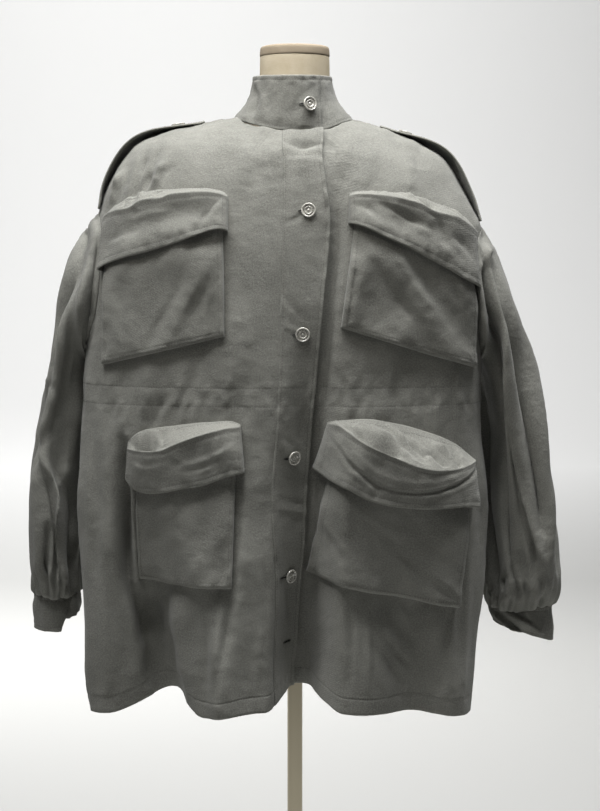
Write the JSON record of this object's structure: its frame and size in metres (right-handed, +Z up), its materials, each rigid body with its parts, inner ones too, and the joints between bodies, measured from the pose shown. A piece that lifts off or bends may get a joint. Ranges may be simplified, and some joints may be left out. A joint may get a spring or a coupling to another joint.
{
  "type": "field jacket on a dress form",
  "caption": "Oversized cotton twill field jacket with a stand collar, flapped patch pockets and gathered cuffs, worn by a limbless dress form on a stand.",
  "frame": {"origin": "centre of the stand's foot on the floor, on the pole's axis", "axes": "+Z up along the pole, -Y to the jacket's front, +X to the wearer's left"},
  "size_m": [0.7727, 0.356, 1.474],
  "materials": {
    "twill": "washed cotton twill, warm grey, matt",
    "pearl": "pearly button plastic, polished",
    "jersey": "fine beige cotton jersey, stretched smooth",
    "cap_cloth": "darker beige cloth, matt",
    "pole_chrome": "polished",
    "base_steel": "satin, clear lacquer"
  },
  "bodies": {
    "root": {"right_front": "twill", "left_front": "twill", "back": "twill", "front_placket": "twill", "chest_right_bag": "twill", "chest_right_flap": "twill", "chest_left_bag": "twill", "chest_left_flap": "twill", "waist_right_bag": "twill", "waist_right_flap": "twill", "waist_left_bag": "twill", "waist_left_flap": "twill", "right_sleeve": "twill", "right_cuff": "twill", "left_sleeve": "twill", "left_cuff": "twill", "collar": "twill", "shoulder_strap_right": "twill", "shoulder_strap_left": "twill", "front_button_1": "pearl", "front_button_2": "pearl", "front_button_3": "pearl", "front_button_4": "pearl", "collar_button": "pearl", "strap_button_right": "pearl", "strap_button_left": "pearl", "dress_form": "jersey", "neck_cap": "cap_cloth", "stand_pole": "pole_chrome", "stand_base": "base_steel"}
  },
  "joints": []
}
